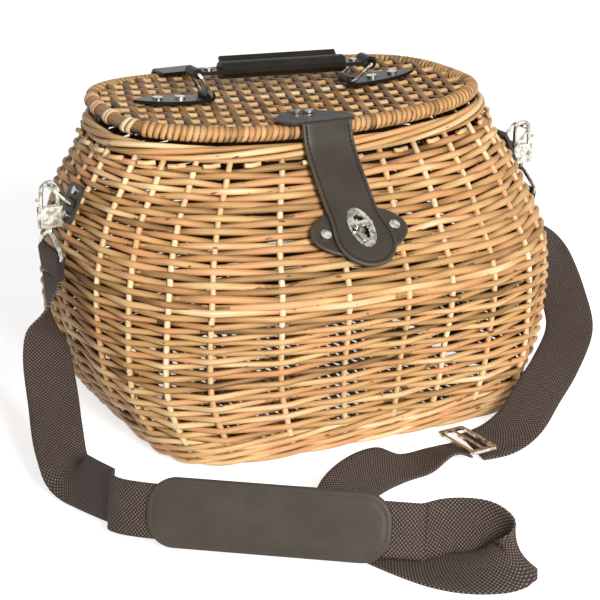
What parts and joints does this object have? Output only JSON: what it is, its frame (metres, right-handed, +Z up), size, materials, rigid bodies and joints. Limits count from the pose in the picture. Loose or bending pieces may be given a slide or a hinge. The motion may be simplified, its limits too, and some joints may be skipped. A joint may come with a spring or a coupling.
{
  "type": "wicker mushroom basket",
  "caption": "Lidded wicker basket with a belly front, a leather hinge, a turn-lock strap, a rolled carrying handle and a webbing shoulder strap with a pad.",
  "frame": {"origin": "middle of the basket's foot, on the ground", "axes": "+X to the basket's right seen from the closure, -Y towards the closure and the belly, +Z up through the lid"},
  "size_m": [0.4951, 0.5473, 0.2729],
  "materials": {
    "willow": "satin",
    "willow_skein": "satin",
    "dark_leather": "satin",
    "grey_leather": "satin",
    "core_cord": "matte",
    "webbing": "matte",
    "nickel": "satin"
  },
  "bodies": {
    "basket": {"woven_wall": "willow", "woven_base": "willow", "base_sticks": "willow", "side_stakes": "willow", "rolled_border": "willow", "hinge_anchor_left": "dark_leather", "hinge_anchor_right": "dark_leather", "lock_backing": "grey_leather", "lock_rivets": "nickel", "lock_post": "nickel", "side_tab_left": "dark_leather", "side_tab_right": "dark_leather", "side_tab_rivets": "nickel", "snap_hook_left": "nickel", "snap_hook_right": "nickel", "webbing_long": "webbing", "webbing_short": "webbing", "shoulder_pad": "grey_leather", "pad_lining": "grey_leather", "strap_slider": "nickel"},
    "lid": {"lid_hoop": "willow", "hoop_lashings": "willow_skein", "lid_panel": "willow", "lid_rods": "willow", "hinge_leaf_left": "dark_leather", "hinge_leaf_right": "dark_leather", "closure_root": "dark_leather", "closure_rivets": "nickel", "handle_tab_left": "dark_leather", "handle_tab_right": "dark_leather", "handle_tab_rivets": "nickel"},
    "flap": {"closure_flap": "grey_leather", "eyelet_plate": "nickel"},
    "knob": {"turn_knob": "nickel"},
    "ring_left": {"handle_ring_left": "nickel"},
    "ring_right": {"handle_ring_right": "nickel"},
    "grip": {"handle_grip": "dark_leather", "handle_core": "core_cord", "grip_rivets": "nickel"},
    "side_ring_left": {"d_ring_left": "nickel"},
    "side_ring_right": {"d_ring_right": "nickel"},
    "gate_left": {"hook_gate_left": "nickel"},
    "gate_right": {"hook_gate_right": "nickel"},
    "swivel_left": {"hook_swivel_left": "nickel", "webbing_loop_left": "webbing"},
    "swivel_right": {"hook_swivel_right": "nickel", "webbing_loop_right": "webbing"}
  },
  "joints": [
    {"name": "lid_hinge", "type": "hinge", "parent": "basket", "child": "lid", "pos_m": [0, 0.13945, 0.2276], "axis": [-1, 0, 0], "range_deg": [0, 92]},
    {"name": "flap_fold", "type": "hinge", "parent": "lid", "child": "flap", "pos_m": [-0.009, -0.0721, 0.24227], "axis": [-1, 0, 0], "range_deg": [0, 110]},
    {"name": "knob_turn", "type": "hinge", "parent": "basket", "child": "knob", "pos_m": [-0.009, -0.13213, 0.17771], "axis": [0, -0.6015, 0.7989], "range_deg": [0, 90]},
    {"name": "ring_left_swing", "type": "hinge", "parent": "lid", "child": "ring_left", "pos_m": [-0.062, 0.03, 0.24508], "axis": [0, 1, 0], "range_deg": [-10, 10]},
    {"name": "ring_right_swing", "type": "hinge", "parent": "lid", "child": "ring_right", "pos_m": [0.062, 0.03, 0.24508], "axis": [0, 1, 0], "range_deg": [-13.4, 13.4]},
    {"name": "grip_swing", "type": "hinge", "parent": "ring_left", "child": "grip", "pos_m": [-0.07267, 0.03, 0.26432], "axis": [0, 1, 0], "range_deg": [-7.9, 7.9]},
    {"name": "side_ring_left_swing", "type": "hinge", "parent": "basket", "child": "side_ring_left", "pos_m": [-0.19446, -0.008, 0.18554], "axis": [0, -1, 0], "range_deg": [0, 10]},
    {"name": "side_ring_right_swing", "type": "hinge", "parent": "basket", "child": "side_ring_right", "pos_m": [0.19446, -0.008, 0.18554], "axis": [0, 1, 0], "range_deg": [0, 10]},
    {"name": "gate_left_slide", "type": "slide", "parent": "basket", "child": "gate_left", "axis": [0, 0, -1], "range_m": [0, 0.008], "stiffness_N_per_m": 60},
    {"name": "gate_right_slide", "type": "slide", "parent": "basket", "child": "gate_right", "axis": [0, 0, -1], "range_m": [0, 0.008], "stiffness_N_per_m": 60},
    {"name": "swivel_left_turn", "type": "hinge", "parent": "basket", "child": "swivel_left", "pos_m": [-0.2079, -0.008, 0.167], "axis": [0, 0, 1], "range_deg": [-6, 6]},
    {"name": "swivel_right_turn", "type": "hinge", "parent": "basket", "child": "swivel_right", "pos_m": [0.2079, -0.008, 0.167], "axis": [0, 0, 1], "range_deg": [-6, 6]}
  ],
  "couplings": [
    {"joint": "ring_right_swing", "follows": "ring_left_swing", "ratio": 1.33},
    {"joint": "grip_swing", "follows": "ring_left_swing", "ratio": -0.778}
  ]
}
